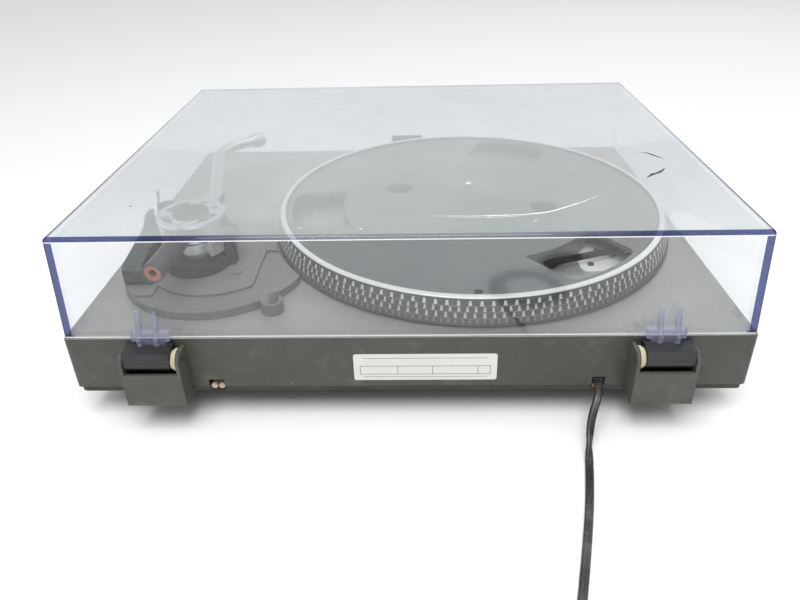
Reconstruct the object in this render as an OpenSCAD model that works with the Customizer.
// Belt-drive turntable with a hinged clear dust cover, an S-shaped tonearm and a free mains cord.
// Millimetres, +Z up. The front faces -Y and the tonearm stands on the +X side.

/* [Cabinet] */
// width of the plinth
body_w = 430; // [426:1:440]
// how far the plinth reaches in front of the origin
front_y = -187.5; // [-190:0.5:-186.5]
// rear face of the plinth
rear_y = 172.5; // [171:0.5:174]
// height of the deck above the floor
deck_z = 64; // [62:1:70]
// lower edge of the plinth skirt
skirt_z = 26; // [25:0.5:27]
// thickness of the skirt walls and of the deck
wall = 3; // [2.5:0.5:3.5]
// underside of the bottom cover
cover_z = 21.5; // [21:0.5:22]

/* [Front strip] */
// height of the front face where the sloping strip begins
strip_z = 40; // [38:1:42]
// depth of the sloping strip from front to back
strip_d = 28; // [27:0.5:29]
// width of the control panel
panel_w = 400; // [380:5:405]
// width of a push button
button_w = 16; // [14:1:17]
// depth of a push button along the slope
button_d = 9; // [8:0.5:10]
// radius of the pitch knob
knob_r = 8; // [7:0.5:9]

/* [Dust cover] */
// half width of the cover at its lower edge
lid_half_w = 213.8; // [213:0.2:214]
// height of the top of the cover above the deck
lid_h = 69; // [62:1:75]
// thickness of the clear sheet
lid_wall = 3; // [2.5:0.5:3.5]
// distance from the rear face of the plinth back to the hinge axis
hinge_back = 7.5; // [7.5:0.1:8]
// distance from the deck down to the hinge axis
hinge_down = 10; // [9.5:0.5:10.5]
// radius of the hinge pin
hinge_pin_r = 2.5; // [2.3:0.1:2.6]

/* [Platter] */
// centre of the platter, across
platter_x = -49; // [-51:1:-47]
// centre of the platter, from front to back
platter_y = 9; // [7:1:11]
// radius of the record ring
ring_r = 151.3; // [150:0.1:151.5]
// radius at the foot of the sloping rim
rim_r = 156; // [155:0.5:156.5]
// radius of the spindle above the platter
spindle_r = 3.6; // [3.55:0.05:3.65]
// radius of the bearing shaft below it
shaft_r = 3.8; // [3.7:0.05:4]
// number of windows in the web of the platter
windows = 3; // [2:1:3]

/* [Tonearm] */
// pivot of the arm, across
arm_x = 150; // [149.5:0.5:150.5]
// pivot of the arm, from front to back
arm_y = 90.5; // [90:0.5:91]
// height of the arm tube above the deck
arm_h = 38.6; // [38.5:0.1:38.9]
// radius of the arm tube
tube_r = 4.6; // [4.5:0.05:4.65]
// angle of the parked arm, clear of the platter
rest_yaw = 4; // [3.5:0.5:4.5]

/* [Hidden] */
$fn = 72;
mid_w = body_w / 2;
hinge_y = rear_y + hinge_back;
hinge_z = deck_z - hinge_down;
gap = 0.3;
run = 0.05;
slope = atan2(deck_z - strip_z, strip_d);
slope_len = norm([strip_d, deck_z - strip_z]);
slope_mid = slope_len / 2;
strip_y = front_y + strip_d;
panel_t = 1.2;
panel_d = 30;
button_out = 3.5;
knob_x = 5;
knob_shaft_r = 3.1;
button_x = [-175, -60, -35, 150];
notch_power = [-125.5, 8, 10.9];
notch_signal = [117.5, 10, 10.1];
feet_at = [[-185, -150], [185, -150], [-185, 118], [185, 118]];
strobe_at = [-190, -135];

lean_x = 3.3;
lean_front = 1.5;
lean_rear = 2.1;
lid_gap = 0.4;
lid_front_y = -158;
lid_rear_y = rear_y - 1;
lid_edge_r = 2.5;
fin_x = [153, 163.5];
fin_t = 2.6;

motor_angle = 152;
motor_far = 128;
motor_x = platter_x + motor_far * cos(motor_angle);
motor_y = platter_y + motor_far * sin(motor_angle);
drive_r = 100;
pulley_r = 6;
belt_t = 0.9;
belt_z = 6;
belt_h = 5.5;
belt_half = acos((drive_r - pulley_r) / motor_far);
belt_run = sqrt(motor_far * motor_far - (drive_r - pulley_r) * (drive_r - pulley_r));
window_half = 32.5;
window_in = 101.2;
window_out = 142;
window_corner = 9;

board_x = 137;
board_y = 87.5;
board_r = 65.5;
board_h = 6;
pad_h = 7.8;
stub_end = 68;
lifter_x = 129.5;
lifter_y = 88.5;
lever_x = 184.9;
lever_y = 64;
lever_z = 33;
dial_x = 177.2;
dial_y = 62.5;

first_len = 19.5;
bend_a = 17.5;
bend_a_r = 60;
straight_len = 73.9;
bend_b = 63.5;
bend_b_r = 36;
last_len = 22;
socket_len = 9;
pocket_len = 5;
ferrule_y = -20;
end_heading = bend_a - bend_b;
a_start = [0, ferrule_y - first_len];
a_mid = a_start + [bend_a_r, 0];
a_end = a_mid - bend_a_r * [cos(bend_a), sin(bend_a)];
b_start = a_end + straight_len * [sin(bend_a), -cos(bend_a)];
b_mid = b_start - bend_b_r * [cos(bend_a), sin(bend_a)];
b_end = b_mid + bend_b_r * [cos(end_heading), sin(end_heading)];

cord_d = 5;
cord_sides = 10;
cord_route = [
  [-121, 172, 28], [-120.8, 177, 28], [-119.2, 183, 26], [-116.6, 188, 22.2],
  [-114, 193, 16.5], [-112.5, 198, 11.2], [-111.2, 203.5, 6.6], [-110, 210, 3.6],
  [-108.7, 217, 2.6], [-106.1, 229, 2.6], [-103.3, 241, 2.6], [-99.9, 254, 2.6],
  [-96.5, 266, 2.6], [-93.3, 277, 2.6], [-90, 288, 2.6], [-86, 301, 2.6],
  [-82, 313, 2.6], [-78, 325.2, 2.6], [-73.9, 338.5, 2.6]
];
coil_x = -105.6;
coil_y = 348.8;
coil_in = 19;
coil_out = 36;
coil_h = 12.8;
plug_x = -118.5;
plug_y = 382.1;
plug_z = 8;

// ---- helpers ----

module along_x(x0, x1) {
  translate([x0, 0, 0])
    rotate([90, 0, 90])
      linear_extrude(x1 - x0)
        children();
}

module along_y(y0, y1) {
  translate([0, y1, 0])
    rotate([90, 0, 0])
      linear_extrude(y1 - y0)
        children();
}

module round_slab(x0, x1, y0, y1, r, h) {
  linear_extrude(h) {
    translate([x0 + r, y0])
      square([x1 - x0 - 2 * r, y1 - y0]);
    translate([x0, y0 + r])
      square([x1 - x0, y1 - y0 - 2 * r]);
    for (x = [x0 + r, x1 - r], y = [y0 + r, y1 - r])
      translate([x, y])
        circle(r);
  }
}

module ring_sector(r0, r1, a0, a1, h) {
  rotate([0, 0, a0])
    rotate_extrude(angle = a1 - a0)
      translate([r0, 0])
        square([r1 - r0, h]);
}

// local y runs up the sloping strip and local z stands out of it
module on_slope(x) {
  translate([x, front_y, strip_z])
    rotate([slope, 0, 0])
      translate([0, slope_mid, 0])
        children();
}

module on_deck(x, y, h) {
  translate([x, y, deck_z + h])
    children();
}

module at_platter(h) {
  on_deck(platter_x, platter_y, h)
    children();
}

module at_pivot(h) {
  on_deck(arm_x, arm_y, h)
    children();
}

// the parked arm: local -y runs along the tube, z = 0 at its axis
module on_arm() {
  at_pivot(arm_h)
    rotate([0, 0, -rest_yaw])
      children();
}

module heading(h) {
  rotate([90, 0, h])
    children();
}

module on_last_straight(t) {
  translate([b_end[0], b_end[1], 0])
    heading(end_heading)
      translate([0, 0, t])
        children();
}

// ---- plinth ----

module cabinet_shape() {
  intersection() {
    along_x(-mid_w, mid_w)
      polygon([[front_y, skirt_z], [front_y, strip_z], [strip_y, deck_z], [rear_y, deck_z], [rear_y, skirt_z]]);
    along_y(front_y - 1, rear_y + 1)
      polygon([[-mid_w, skirt_z - 1], [-mid_w, deck_z - 1.2], [1.2 - mid_w, deck_z],
        [mid_w - 1.2, deck_z], [mid_w, deck_z - 1.2], [mid_w, skirt_z - 1]]);
    translate([0, 0, skirt_z - 1])
      round_slab(-mid_w, mid_w, front_y, rear_y, 4, deck_z - skirt_z + 2);
  }
}

module cavity_shape() {
  low = [front_y + wall * sin(slope), strip_z - wall * cos(slope)];
  rise = tan(slope);
  along_x(wall - mid_w, mid_w - wall)
    polygon([[front_y + wall, skirt_z - 2],
      [front_y + wall, low[1] + (front_y + wall - low[0]) * rise],
      [low[0] + (deck_z - wall - low[1]) / rise, deck_z - wall],
      [rear_y - wall, deck_z - wall], [rear_y - wall, skirt_z - 2]]);
}

module strip_holes() {
  for (x = button_x)
    on_slope(x)
      translate([-button_w / 2 - 0.4, -button_d / 2 - 0.4, -8])
        cube([button_w + 0.8, button_d + 0.8, 16]);
  on_slope(knob_x)
    translate([0, 0, -8])
      cylinder(h = 16, r = knob_shaft_r + 0.08);
}

module cord_notches(z0) {
  for (n = [notch_power, notch_signal])
    translate([n[0], rear_y - 10, z0])
      cube([n[1], 12, cover_z + n[2] - z0]);
}

module plinth() {
  color("#53544a")
    difference() {
      cabinet_shape();
      cavity_shape();
      strip_holes();
      cord_notches(skirt_z - 2);
      at_platter(-wall - 1)
        cylinder(h = wall + 2, r = 11);
      on_deck(motor_x, motor_y, -wall - 1)
        cylinder(h = wall + 2, r = 5);
      on_deck(strobe_at[0] - 7, strobe_at[1] - 4, -wall - 1)
        cube([14, 8, wall + 2]);
    }
}

module bottom_cover() {
  lip = mid_w - 1.6;
  color("#4a4b44")
    difference() {
      translate([0, 0, cover_z])
        round_slab(-lip, lip, front_y + 2.5, rear_y - 1.5, 4, skirt_z - cover_z);
      translate([0, 0, cover_z + 2.2])
        round_slab(4.4 - lip, lip - 4.4, front_y + 6.9, rear_y - 5.9, 3, 10);
      cord_notches(cover_z - 1);
      for (side = [-1, 1], k = [0 : 6])
        translate([side * 60 - 20, -90 + 9 * k, cover_z - 1])
          cube([40, 3, 5]);
      for (x = [-140, 140], y = [-168, 148])
        translate([x, y, cover_z - 1])
          cylinder(h = 5, r = 1.8);
    }
}

module bottom_screws() {
  color("#2f3033")
    for (x = [-140, 140], y = [-168, 148])
      translate([x, y, cover_z - 1.4])
        difference() {
          union() {
            cylinder(h = 1.4, r = 3.6);
            cylinder(h = 6, r = 1.7);
          }
          translate([-2.4, -0.4, -0.1])
            cube([4.8, 0.8, 0.8]);
        }
}

module foot(i) {
  color("#26272a")
    translate([feet_at[i][0], feet_at[i][1], 0])
      rotate_extrude()
        polygon([[0, 0], [14.8, 0], [16.4, 1.6], [16.4, 7], [15.6, 7.6], [15.6, 8.8], [16.8, 9.6],
          [17.4, cover_z - 5], [19, cover_z - 4], [19, cover_z - 0.8], [18.2, cover_z], [0, cover_z]]);
}

module foot_front_left() {
  foot(0);
}

module foot_front_right() {
  foot(1);
}

module foot_rear_left() {
  foot(2);
}

module foot_rear_right() {
  foot(3);
}

module control_panel() {
  color("#8d9090")
    difference() {
      on_slope(0)
        translate([-panel_w / 2, -panel_d / 2, 0])
          cube([panel_w, panel_d, panel_t]);
      strip_holes();
    }
}

module push_button(x) {
  under = -wall - gap;
  color("#b9bbbb")
    on_slope(x) {
      translate([-button_w / 2, -button_d / 2, under])
        cube([button_w, button_d, button_out - under]);
      translate([-button_w / 2 - 2, -button_d / 2 - 2, under - 2])
        cube([button_w + 4, button_d + 4, 2]);
      translate([0, 0, under - 6])
        cylinder(h = 5, r = 2);
    }
}

module power_button() {
  push_button(button_x[0]);
}

module speed_button_33() {
  push_button(button_x[1]);
}

module speed_button_45() {
  push_button(button_x[2]);
}

module stop_button() {
  push_button(button_x[3]);
}

module pitch_knob() {
  low = panel_t + gap;
  color("#9fa2a2")
    on_slope(knob_x)
      difference() {
        union() {
          translate([0, 0, low])
            cylinder(h = 5.5, r = knob_r);
          translate([0, 0, -wall - 4])
            cylinder(h = wall + 4 + low + 1, r = knob_shaft_r);
          translate([0, 0, -wall - gap - 2])
            cylinder(h = 2, r = knob_shaft_r + 3);
        }
        for (k = [0 : 17])
          rotate([0, 0, 20 * k])
            translate([knob_r, 0, low + 1])
              cylinder(h = 6, r = 0.5);
        translate([-0.4, 1.5, low + 5])
          cube([0.8, knob_r, 1]);
      }
}

module strobe_lamp() {
  color("#c86a4a")
    on_deck(strobe_at[0], strobe_at[1], 0) {
      translate([-6.8, -3.8, -wall])
        cube([13.6, 7.6, wall + 0.3]);
      translate([0, 0, -14])
        cylinder(h = 14 - wall + 0.5, r = 3.2);
    }
}

module rear_label() {
  color("#d9d8cf")
    translate([0, rear_y + 0.4, 0])
      rotate([90, 0, 0])
        round_slab(-57, 33.3, 31, 51.3, 1.6, 0.4);
}

module servo_board() {
  color("#3d6b46")
    translate([20, 120, 0]) {
      translate([-55, -30, 40])
        cube([110, 60, 1.6]);
      for (x = [-50, 50], y = [-25, 25])
        translate([x, y, 41.6])
          cylinder(h = deck_z - wall - 41.6, r = 3);
      for (k = [0 : 3])
        translate([-36 + 22 * k, 6, 41.6])
          cylinder(h = 11 - k, r = 4.5);
      translate([-40, -18, 41.6])
        cube([24, 8, 3]);
      translate([8, -20, 41.6])
        cube([30, 3, 14]);
    }
}

module transformer() {
  foot_z = cover_z + 2.2;
  color("#6d5f4a")
    translate([-150, 124, foot_z]) {
      translate([-24, -20, 0])
        cube([48, 40, 3]);
      translate([-20, -17, 3])
        cube([40, 34, 30]);
      translate([-14, -20, 8])
        cube([28, 40, 20]);
    }
}

// ---- hinges ----

module hinge_housing() {
  x0 = 138;
  x1 = 175.5;
  y1 = rear_y + 15;
  z0 = hinge_z - 31.5;
  side_t = 2.2;
  color("#4f5047")
    difference() {
      along_x(x0, x1)
        polygon([[rear_y, z0], [y1 - 1, z0], [y1, z0 + 1], [y1, hinge_z + 1.5],
          [y1 - 3.5, hinge_z + 6], [rear_y, hinge_z + 6]]);
      translate([x0 + side_t, rear_y - 1, z0 + 2.5])
        cube([x1 - x0 - 2 * side_t, 16 - side_t, 50]);
      translate([x0 + side_t, rear_y - 1, hinge_z - 7])
        cube([x1 - x0 - 2 * side_t, 20, 50]);
      translate([x0 - 1, hinge_y, hinge_z])
        rotate([0, 90, 0])
          cylinder(h = x1 - x0 + 2, r = hinge_pin_r + run);
    }
}

module hinge_housing_right() {
  hinge_housing();
}

module hinge_housing_left() {
  mirror([1, 0, 0])
    hinge_housing();
}

module hinge_pins() {
  color("#c4c6c8")
    for (side = [0, 1])
      mirror([side, 0, 0])
        translate([138.2, hinge_y, hinge_z])
          rotate([0, 90, 0])
            cylinder(h = 37.1, r = hinge_pin_r);
}

module hinge_springs() {
  color("#cfc7a8")
    for (side = [0, 1])
      mirror([side, 0, 0])
        translate([140.4, hinge_y, hinge_z])
          rotate([0, 90, 0])
            difference() {
              union() {
                cylinder(h = 1.6, r = 7);
                translate([0, 0, 1.6])
                  cylinder(h = 1.6, r = 6);
              }
              translate([0, 0, -1])
                cylinder(h = 6, r = hinge_pin_r + 0.1);
            }
}

module hinge_block() {
  x0 = 144;
  x1 = 172.7;
  color("#1d1e20")
    translate([0, hinge_y, hinge_z])
      difference() {
        union() {
          translate([x0, 0, 0])
            rotate([0, 90, 0])
              cylinder(h = x1 - x0, r = 6.4);
          translate([x0, -6.9, 0])
            cube([x1 - x0, 13.1, 8.2]);
        }
        translate([148, -8, 2.8])
          cube([18, 4.4, 10]);
        translate([x0 - 1, 0, 0])
          rotate([0, 90, 0])
            cylinder(h = x1 - x0 + 2, r = hinge_pin_r + 0.06);
      }
}

module hinge_block_right() {
  hinge_block();
}

module hinge_block_left() {
  mirror([1, 0, 0])
    hinge_block();
}

// ---- dust cover ----

module lid_shell(inset, edge_r, low, high) {
  half = lid_half_w - inset;
  y0 = lid_front_y + inset;
  y1 = lid_rear_y - inset;
  hull() {
    for (x = [edge_r - half, half - edge_r], y = [y0 + edge_r, y1 - edge_r])
      on_deck(x, y, low)
        cylinder(h = 0.2, r = edge_r, $fn = 32);
    for (x = [edge_r - half + lean_x, half - edge_r - lean_x], y = [y0 + edge_r + lean_front, y1 - edge_r - lean_rear])
      on_deck(x, y, high - edge_r)
        sphere(r = edge_r, $fn = 32);
  }
}

module lid_foot() {
  translate([145.5, lid_rear_y - 1, deck_z + lid_gap])
    cube([23.5, 5.5, 6.6]);
  translate([148.3, rear_y + 0.8, deck_z - 6.8])
    cube([17.4, 2.7, 8]);
  for (x = fin_x)
    along_x(x - fin_t / 2, x + fin_t / 2)
      polygon([[lid_rear_y - 1.5, deck_z + lid_gap + 0.4], [rear_y + 3, deck_z + lid_gap], [rear_y + 3, deck_z - 1.6],
        [rear_y + 6, deck_z - 1.6], [rear_y + 6, deck_z + 2], [rear_y - 0.2, deck_z + 20],
        [lid_rear_y - 1.5, deck_z + 21]]);
}

module dust_cover() {
  color("#b9c6e0")
    union() {
      difference() {
        lid_shell(0, lid_edge_r, lid_gap, lid_h);
        lid_shell(lid_wall, 1, lid_gap - 0.5, lid_h - lid_wall);
      }
      lid_foot();
      mirror([1, 0, 0])
        lid_foot();
    }
}

module cover_badge() {
  lean = atan2(lean_front, lid_h - lid_gap);
  color("#c9cbd0")
    translate([-13.1, lid_front_y, deck_z + lid_gap])
      rotate([-lean, 0, 0])
        translate([0, -0.8, 6.6])
          cube([31.7, 0.8, 9.5]);
}

module cover_buffers() {
  color("#3a3b3e")
    for (side = [0, 1], y = [-140, 150])
      mirror([side, 0, 0])
        translate([lid_half_w - lid_wall - 3.2, y - 5, deck_z + 0.25])
          cube([3, 10, 3]);
}

// ---- platter and drive ----

module window_cut() {
  corner_x = sqrt((window_out - window_corner) * (window_out - window_corner)
    - (window_half - window_corner) * (window_half - window_corner));
  difference() {
    union() {
      translate([90, -window_half, -1])
        cube([corner_x - 89.9, 2 * window_half, 12]);
      for (side = [-1, 1])
        translate([corner_x - 0.1, side * (window_half - window_corner - 0.05), -1])
          cylinder(h = 12, r = window_corner);
      intersection() {
        translate([0, 0, -1])
          cylinder(h = 12, r = window_out);
        translate([100, -25, -1])
          cube([60, 50, 12]);
      }
    }
    translate([0, 0, -2])
      cylinder(h = 16, r = window_in);
  }
}

module platter() {
  web_top = 18.4;
  web_low = 15;
  ring_top = 20.4;
  foot_h = 2.4;
  color("#8f9296")
    at_platter(0)
      difference() {
        union() {
          rotate_extrude()
            polygon([[8, web_low], [8, web_top], [ring_r - 4.3, web_top], [ring_r - 4.3, ring_top],
              [ring_r - 0.3, ring_top], [ring_r + 0.3, ring_top - 0.8], [rim_r, foot_h + 0.4],
              [rim_r - 0.5, foot_h], [rim_r - 5.5, foot_h], [ring_r - 4.3, web_low]]);
          translate([0, 0, 10])
            cylinder(h = web_top - 10, r = 11);
          difference() {
            translate([0, 0, 3.5])
              cylinder(h = web_low - 3, r = drive_r);
            translate([0, 0, 3])
              cylinder(h = web_low, r = drive_r - 4);
          }
        }
        translate([0, 0, 5])
          cylinder(h = 30, r = shaft_r + 0.02);
        for (k = [0 : windows - 1])
          rotate([0, 0, 7.5 + 360 / windows * k])
            translate([0, 0, web_low - 3])
              window_cut();
        for (a = [-22.5, 165])
          rotate([0, 0, a])
            translate([61, 0, web_low - 2])
              cylinder(h = 8, r = 11);
        rotate([0, 0, 88.7])
          translate([141, 0, web_low - 2])
            cylinder(h = 8, r = 3);
      }
}

module spindle() {
  color("#d5d7d9")
    at_platter(0)
      rotate_extrude()
        polygon([[0, -22.9], [shaft_r - 0.5, -22.9], [shaft_r, -22.4], [shaft_r, 18.9], [spindle_r, 18.9],
          [spindle_r, 31.6], [spindle_r - 0.3, 32.8], [spindle_r - 1.2, 33.7], [0, 34]]);
}

module bearing_housing() {
  color("#a8a08a")
    at_platter(0)
      difference() {
        union() {
          cylinder(h = 2.2, r = 24);
          translate([0, 0, -32])
            cylinder(h = 41, r = 10.5);
        }
        translate([0, 0, -29])
          cylinder(h = 60, r = shaft_r + 0.04);
      }
}

module thrust_ball() {
  color("#e0e2e4")
    at_platter(-26)
      sphere(r = 3);
}

module drive_belt() {
  loop_r = drive_r + gap;
  lap = 0.3;
  skin = 0.05;
  color("#2a2522")
    at_platter(belt_z) {
      ring_sector(loop_r, loop_r + belt_t, motor_angle + belt_half, motor_angle - belt_half + 360, belt_h);
      translate([motor_far * cos(motor_angle), motor_far * sin(motor_angle), 0])
        ring_sector(pulley_r + gap, pulley_r + gap + belt_t, motor_angle - belt_half, motor_angle + belt_half, belt_h);
      rotate([0, 0, motor_angle + belt_half])
        translate([loop_r + skin, -belt_run - lap, 0])
          cube([belt_t - 2 * skin, belt_run + 2 * lap, belt_h]);
      rotate([0, 0, motor_angle - belt_half])
        translate([loop_r + skin, -lap, 0])
          cube([belt_t - 2 * skin, belt_run + 2 * lap, belt_h]);
    }
}

module motor() {
  color("#9aa0a4")
    on_deck(motor_x, motor_y, -34)
      difference() {
        union() {
          cylinder(h = 31, r = 18);
          cylinder(h = 4, r = 19.5);
        }
        translate([0, 0, 10])
          cylinder(h = 30, r = 1.56);
      }
}

module motor_plate() {
  color("#b4b6b5")
    on_deck(0, 0, 0)
      difference() {
        round_slab(-174, -124, 55, 97, 6, 1.3);
        translate([motor_x, motor_y, -1])
          cylinder(h = 4, r = 5);
      }
}

module motor_screws() {
  color("#7d8082")
    for (p = [[-132, 75.8], [-141.3, 67.6], [-151.2, 75.6], [-132.1, 88.2]])
      on_deck(p[0], p[1], 1.3)
        difference() {
          cylinder(h = 1.1, r = 2.3);
          translate([-1.6, -0.3, 0.6])
            cube([3.2, 0.6, 1]);
        }
}

module motor_pulley() {
  color("#c9b98a")
    on_deck(motor_x, motor_y, 0) {
      translate([0, 0, 4])
        cylinder(h = 9.2, r = pulley_r);
      translate([0, 0, 4.2])
        cylinder(h = 1.2, r = pulley_r + 1.6);
      translate([0, 0, 12.1])
        cylinder(h = 1, r = pulley_r + 1.6);
      translate([0, 0, -18])
        cylinder(h = 23, r = 1.5);
    }
}

// ---- arm board and base ----

module board_plan(r) {
  difference() {
    translate([board_x, board_y])
      circle(r);
    translate([platter_x, platter_y])
      circle(rim_r + 2.5);
  }
}

module arm_board() {
  color("#6a6c66")
    on_deck(0, 0, 0) {
      linear_extrude(board_h)
        board_plan(board_r);
      translate([0, 0, board_h])
        linear_extrude(pad_h - board_h)
          intersection() {
            board_plan(board_r - 0.8);
            union() {
              intersection() {
                translate([board_x, board_y])
                  circle(47);
                translate([104.8, 0])
                  square([120, 200]);
              }
              translate([60, 0])
                square([160, 73.3]);
              translate([170, 50])
                square([40, 84]);
            }
          }
    }
}

module arm_base() {
  color("#232427")
    difference() {
      at_pivot(pad_h)
        union() {
          cylinder(h = 9.2, r = 22.9);
          cylinder(h = 7.8, r = 23.3);
        }
      at_pivot(10.5)
        cylinder(h = 20, r = 4 + run);
      on_deck(lifter_x, lifter_y, 0)
        cylinder(h = 60, r = 7.6);
    }
}

module gimbal_frame() {
  head_z = 22;
  disc_z = 45.7;
  color("#b8babb") {
    difference() {
      at_pivot(0)
        difference() {
          union() {
            translate([0, 0, 17])
              cylinder(h = 6, r = 12);
            translate([0, 0, head_z])
              cylinder(h = 7, r = 15.5);
            for (a = [-5, 147])
              rotate([0, 0, a])
                translate([10, -4, head_z + 0.5])
                  cube([11.5, 8, 5.5]);
          }
          translate([0, 0, 10])
            cylinder(h = 25, r = 4 + run);
        }
      on_deck(lifter_x, lifter_y, 0)
        cylinder(h = 30, r = 7.8);
    }
    at_pivot(0)
      difference() {
        union() {
          for (a = [-21, 131])
            translate([0, 0, head_z])
              ring_sector(19.8, 23.2, a, a + 30, disc_z + 0.5 - head_z);
          translate([0, 0, disc_z])
            cylinder(h = 1.9, r = 23.5);
        }
        for (a = [20, 110, 200, 290])
          translate([0, 0, disc_z - 1])
            ring_sector(14, 19.3, a, a + 62, 4);
      }
  }
}

module arm_bearing_cap() {
  color("#18191b")
    at_pivot(47.6)
      rotate_extrude()
        polygon([[0, 0], [12.3, 0], [12.3, 0.9], [11.8, 1.4], [3, 1.4], [3, 1], [0, 1]]);
}

module lifter_cylinder() {
  color("#2b2c2f")
    on_deck(lifter_x, lifter_y, 0)
      difference() {
        translate([0, 0, pad_h])
          cylinder(h = 25 - pad_h, r = 7.5);
        translate([0, 0, 10])
          cylinder(h = 30, r = 2.05);
      }
}

module arm_lifter() {
  bar_z = 26.3;
  bar_h = 2.5;
  out = norm([lifter_x - arm_x, lifter_y - arm_y]);
  turn = atan2(lifter_y - arm_y, lifter_x - arm_x);
  color("#3a3b3e") {
    on_deck(lifter_x, lifter_y, 11)
      cylinder(h = bar_z + bar_h - 11, r = 2);
    at_pivot(bar_z) {
      rotate([0, 0, turn])
        translate([out - 3, -3, 0])
          cube([9.5, 6, bar_h]);
      ring_sector(27, 31, 180, 275, bar_h);
    }
  }
}

module arm_rest() {
  color("#2b2c2f")
    on_deck(149.9, 28.4, pad_h) {
      cylinder(h = 22, r = 3.5);
      cylinder(h = 3, r = 5.5);
      translate([-4.6, -3.5, 21])
        cube([9.2, 7, 4.8]);
    }
}

module arm_side_housing() {
  color("#5f615c")
    on_deck(0, 0, 0)
      difference() {
        union() {
          along_x(179, 192.5)
            polygon([[56, pad_h], [56, 33.5], [58.5, 36], [68, 36], [78, 28.5], [96, 26], [119, 22.5],
              [122, 19.5], [122, 10], [120, pad_h]]);
          along_x(174, 180)
            polygon([[108, pad_h], [108, 16], [112, 20], [119, 19], [122, 17], [122, 10], [120, pad_h]]);
          translate([dial_x, dial_y, pad_h])
            cylinder(h = 36.2 - pad_h, r = 5.8);
        }
        translate([lever_x - 1.7, 58.8, lever_z - 5.3])
          cube([3.4, 15, 20]);
        translate([180.5, lever_y, lever_z])
          rotate([0, 90, 0])
            cylinder(h = 9, r = 1.56);
        translate([dial_x, dial_y, 25])
          cylinder(h = 20, r = 2.05);
      }
}

module anti_skate_dial() {
  color("#2f3033")
    on_deck(dial_x, dial_y, 0)
      difference() {
        union() {
          translate([0, 0, 36.5])
            cylinder(h = 5.5, r = 5.6);
          translate([0, 0, 26])
            cylinder(h = 11, r = 2);
        }
        for (k = [0 : 19])
          rotate([0, 0, 18 * k])
            translate([5.7, 0, 37.3])
              cylinder(h = 6, r = 0.45);
      }
}

module cueing_lever() {
  color("#c0c2c3")
    on_deck(lever_x, lever_y, lever_z) {
      translate([-1.3, 0, 0])
        rotate([0, 90, 0])
          cylinder(h = 2.6, r = 4.8);
      translate([-4, 0, 0])
        rotate([0, 90, 0])
          cylinder(h = 8, r = 1.5);
      rotate([9, 0, 0])
        translate([-1.3, -2.2, 0])
          cube([2.6, 4.4, 19]);
      rotate([9, 0, 0])
        translate([-2.2, -2.6, 11])
          cube([4.4, 5.2, 8]);
    }
}

module headshell_holder() {
  color("#2b2c2f")
    on_deck(87.9, 141.9, 0) {
      cylinder(h = 8.3, r = 7.3);
      difference() {
        cylinder(h = 16.5, r = 4.6);
        translate([0.6, -10, 8.3])
          cube([20, 20, 20]);
        translate([-10, -10, 13.5])
          rotate([0, -22, 0])
            cube([20, 20, 20]);
      }
    }
}

module transit_cap() {
  color("#2b2c2f")
    on_deck(120.6, 103.5, pad_h)
      cylinder(h = 0.8, r = 4.8);
}

// ---- tonearm ----

module arm_yoke() {
  color("#c2c4c5")
    on_arm()
      difference() {
        union() {
          translate([0, 0, -27.6])
            cylinder(h = 19, r = 4);
          translate([0, 0, -9.3])
            cylinder(h = 1.9, r = 13.5);
          for (x = [-12.8, 9])
            translate([x, -5, -8])
              cube([3.8, 10, 11.9]);
        }
        translate([-20, 0, 0])
          rotate([0, 90, 0])
            cylinder(h = 40, r = 1.56);
      }
}

module arm_hub() {
  color("#8c8f92")
    on_arm() {
      translate([0, 6, 0])
        heading(0)
          cylinder(h = 12, r = 5.8);
      translate([-12.5, 0, 0])
        rotate([0, 90, 0])
          cylinder(h = 25, r = 1.5);
      translate([0, -6, 0])
        heading(0)
          cylinder(h = -6 - ferrule_y, r1 = 6, r2 = 4.9);
    }
}

module arm_tube() {
  lap = 0.4;
  bend_r = tube_r - 0.06;
  color("#d2d4d6")
    on_arm()
      difference() {
        union() {
          translate([0, ferrule_y, 0])
            heading(0)
              cylinder(h = first_len + lap, r = tube_r);
          translate([a_mid[0], a_mid[1], 0])
            rotate([0, 0, 180])
              rotate_extrude(angle = bend_a)
                translate([bend_a_r, 0])
                  circle(bend_r);
          translate([a_end[0], a_end[1], 0])
            heading(bend_a)
              translate([0, 0, -lap])
                cylinder(h = straight_len + 2 * lap, r = tube_r);
          translate([b_mid[0], b_mid[1], 0])
            rotate([0, 0, end_heading])
              rotate_extrude(angle = bend_b)
                translate([bend_b_r, 0])
                  circle(bend_r);
          on_last_straight(-lap)
            cylinder(h = last_len + lap, r = tube_r);
        }
        on_last_straight(last_len - socket_len)
          cylinder(h = 20, r = 4.05);
        on_last_straight(last_len - socket_len - pocket_len)
          cylinder(h = 20, r = 3.7);
      }
}

module arm_connector() {
  color("#c9a24a")
    on_arm()
      on_last_straight(last_len - socket_len - pocket_len) {
        cylinder(h = 1.8, r = 3.7);
        for (a = [45, 135, 225, 315])
          rotate([0, 0, a])
            translate([2, 0, 0])
              cylinder(h = 4.4, r = 0.45);
      }
}

module arm_collar() {
  color("#dcdedf")
    on_arm()
      on_last_straight(last_len - 11.5)
        difference() {
          union() {
            cylinder(h = 11.5, r = 6);
            translate([0, 0, 0.6])
              cylinder(h = 1.8, r = 6.6);
            translate([0, 0, 3.6])
              cylinder(h = 5.6, r = 6.6);
          }
          translate([0, 0, -1])
            cylinder(h = 20, r = tube_r + 0.06);
          for (k = [0 : 15])
            rotate([0, 0, 22.5 * k])
              translate([6.8, 0, 3.4])
                cylinder(h = 6, r = 0.5);
        }
}

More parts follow.
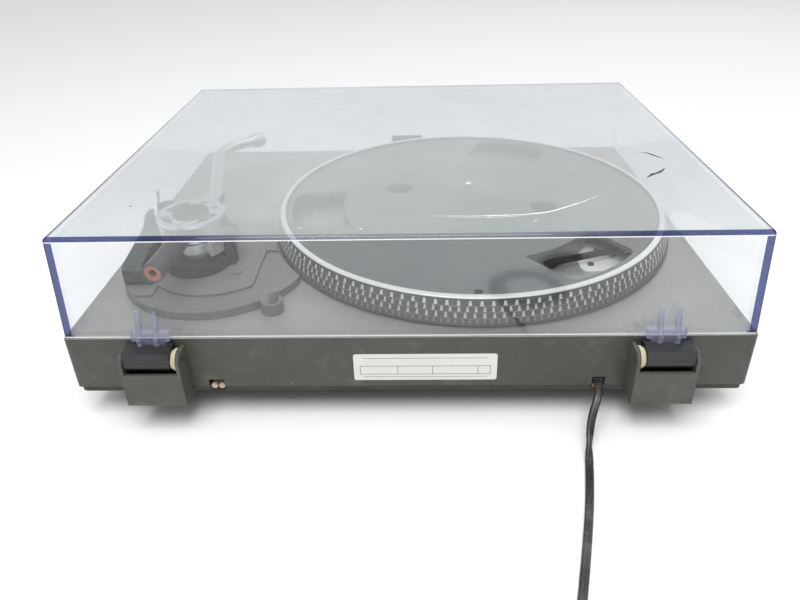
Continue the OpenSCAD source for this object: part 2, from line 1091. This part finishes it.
module counterweight_stub() {
  color("#2c2d30")
    on_arm()
      difference() {
        union() {
          translate([0, 24.5, 0])
            heading(0)
              cylinder(h = 18.5, r = 5.5);
          translate([0, stub_end, 0])
            heading(0)
              cylinder(h = stub_end - 24, r = 6.7);
        }
        translate([0, stub_end + 1, 0])
          heading(0)
            cylinder(h = 13, r = 5.4);
      }
}

module stub_ring() {
  color("#c06a34")
    on_arm()
      translate([0, stub_end - 0.4, 0])
        heading(0)
          difference() {
            cylinder(h = 2.6, r = 5.4);
            translate([0, 0, -1])
              cylinder(h = 5, r = 2.6);
          }
}

// ---- cords ----

module signal_stubs() {
  color("#cdbf9f")
    for (x = [119.8, 124.6])
      translate([x, rear_y - 1, cover_z + 4.2])
        rotate([90, 0, 0])
          cylinder(h = 13, r = 2);
}

module strain_relief() {
  color("#a86a3c")
    difference() {
      translate([-124.6, rear_y - 14.5, cover_z + 2.2])
        cube([6.2, 14, 7.6]);
      translate([-130, rear_y - 5.5, cover_z + 8.6])
        cube([20, 2.4, 4]);
    }
}

function unit(v) = v / norm(v);
function step_dir(i) = unit(cord_route[min(i + 1, len(cord_route) - 1)] - cord_route[max(i - 1, 0)]);
function ring_dir(i) = i == 0 ? [0, 1, 0] : step_dir(i);
function ring_side(i) = unit(cross(ring_dir(i), [0, 0, 1]));
function ring_point(i, k) = cord_route[i] + cord_d / 2 * (cos(360 / cord_sides * k) * ring_side(i)
  + sin(360 / cord_sides * k) * cross(ring_side(i), ring_dir(i)));

module power_cord() {
  rings = len(cord_route);
  points = [for (i = [0 : rings - 1], k = [0 : cord_sides - 1]) ring_point(i, k)];
  faces = [
    [for (k = [0 : cord_sides - 1]) k],
    for (i = [0 : rings - 2], k = [0 : cord_sides - 1])
      [i * cord_sides + (k + 1) % cord_sides, i * cord_sides + k,
        (i + 1) * cord_sides + k, (i + 1) * cord_sides + (k + 1) % cord_sides],
    [for (k = [cord_sides - 1 : -1 : 0]) (rings - 1) * cord_sides + k]
  ];
  color("#8f8f8a")
    polyhedron(points = points, faces = faces, convexity = 4);
}

module cord_coil() {
  color("#8f8f8a")
    translate([coil_x, coil_y, 0])
      rotate_extrude()
        polygon([[coil_in, 1], [coil_in + 1, 0], [coil_out - 1, 0], [coil_out, 1],
          [coil_out, coil_h - 1], [coil_out - 1, coil_h], [coil_in + 1, coil_h], [coil_in, coil_h - 1]]);
}

module power_plug() {
  color("#3a3b3d")
    translate([plug_x, plug_y, plug_z])
      rotate([0, -90, 0]) {
        cylinder(h = 16, r1 = 3.4, r2 = 6);
        translate([-8, -11, 16])
          cube([16, 22, 26]);
        for (side = [-6.35, 6.35])
          translate([-3.15, side - 0.75, 42])
            cube([6.3, 1.5, 17]);
      }
}

plinth();
bottom_cover();
foot_front_left();
foot_front_right();
foot_rear_left();
foot_rear_right();
control_panel();
rear_label();
hinge_housing_left();
hinge_housing_right();
hinge_pins();
hinge_springs();
dust_cover();
hinge_block_left();
hinge_block_right();
cover_badge();
cover_buffers();
platter();
spindle();
bearing_housing();
thrust_ball();
drive_belt();
motor();
motor_plate();
motor_pulley();
motor_screws();
servo_board();
transformer();
arm_board();
arm_base();
gimbal_frame();
arm_bearing_cap();
arm_yoke();
arm_hub();
arm_tube();
arm_collar();
arm_connector();
counterweight_stub();
stub_ring();
arm_side_housing();
anti_skate_dial();
cueing_lever();
arm_lifter();
lifter_cylinder();
arm_rest();
headshell_holder();
transit_cap();
pitch_knob();
speed_button_33();
speed_button_45();
stop_button();
power_button();
strobe_lamp();
bottom_screws();
signal_stubs();
strain_relief();
power_cord();
cord_coil();
power_plug();
